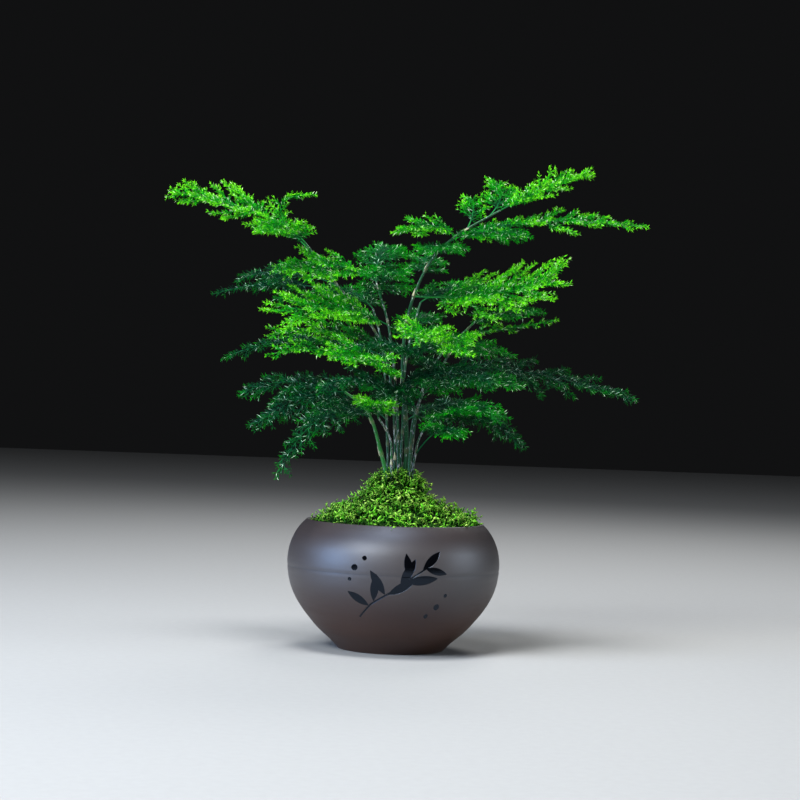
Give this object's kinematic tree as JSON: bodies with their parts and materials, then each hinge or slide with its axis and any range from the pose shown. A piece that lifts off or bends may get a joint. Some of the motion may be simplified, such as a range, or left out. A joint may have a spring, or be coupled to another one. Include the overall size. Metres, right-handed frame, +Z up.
{
  "type": "potted lace fern",
  "caption": "Lace fern with wiry canes and flat, layered feathery fronds, in a round moss-topped clay bowl that stands on a table.",
  "frame": {"origin": "on the surface the bowl stands on, under the middle of the bowl", "axes": "+Z up, +X to the right and -Y towards the viewer of the front"},
  "size_m": [0.2355, 0.144, 0.2429],
  "materials": {
    "bowl": "unglazed dark clay, smooth, with a soft sheen",
    "drain_mesh": "moulded",
    "soil": "moist crumb",
    "rootstock": "fibrous",
    "moss": "short fresh shoots",
    "cane": "smooth green stems with pale joints",
    "frond_new": "soft new needles, lime green",
    "frond_young": "young needles, bright green",
    "frond_grown": "grown needles, deep green",
    "frond_old": "old needles, dark bluish green"
  },
  "bodies": {
    "root": {"bowl": "bowl", "cane_back": "cane", "cane_back_left": "cane", "cane_bright_right": "cane", "cane_centre": "cane", "cane_crest_left": "cane", "cane_crest_right": "cane", "cane_front": "cane", "cane_low_left": "cane", "cane_low_right": "cane", "cane_mid_right": "cane", "drain_mesh": "drain_mesh", "frond_back_low_left": "frond_old", "frond_back_low_right": "frond_old", "frond_back_mid_right": "frond_grown", "frond_back_middle": "frond_grown", "frond_back_upper_left": "frond_grown", "frond_back_upper_right": "frond_grown", "frond_centre_dark": "frond_old", "frond_centre_left_dark": "frond_old", "frond_centre_right_dark": "frond_old", "frond_crest_left": "frond_new", "frond_crest_left_low": "frond_young", "frond_crest_left_spur": "frond_new", "frond_crest_right": "frond_new", "frond_crest_right_back": "frond_young", "frond_crest_right_front": "frond_grown", "frond_crest_right_left": "frond_young", "frond_crest_right_left_high": "frond_young", "frond_crest_right_long": "frond_young", "frond_crest_right_short": "frond_grown", "frond_front_bright": "frond_new", "frond_front_bright_right": "frond_new", "frond_low_front": "frond_young", "frond_low_left": "frond_old", "frond_low_left_drooping": "frond_old", "frond_low_left_mid": "frond_old", "frond_low_right": "frond_old", "frond_low_right_front": "frond_grown", "frond_low_right_high": "frond_grown", "frond_low_right_spur": "frond_grown", "frond_mid_left": "frond_new", "frond_mid_left_dark": "frond_old", "frond_mid_left_front": "frond_young", "frond_mid_left_low": "frond_young", "frond_mid_left_under": "frond_young", "frond_right_bright": "frond_new", "frond_right_bright_low": "frond_grown", "frond_right_long_dark": "frond_old", "frond_right_spur": "frond_new", "frond_top_dome": "frond_grown", "frond_top_dome_right": "frond_grown", "frond_top_middle": "frond_grown", "frond_upper_left": "frond_young", "frond_upper_left_dark": "frond_old", "frond_upper_left_slim": "frond_grown", "frond_upper_left_tail": "frond_old", "moss": "moss", "rootstock": "rootstock", "soil": "soil"}
  },
  "joints": []
}
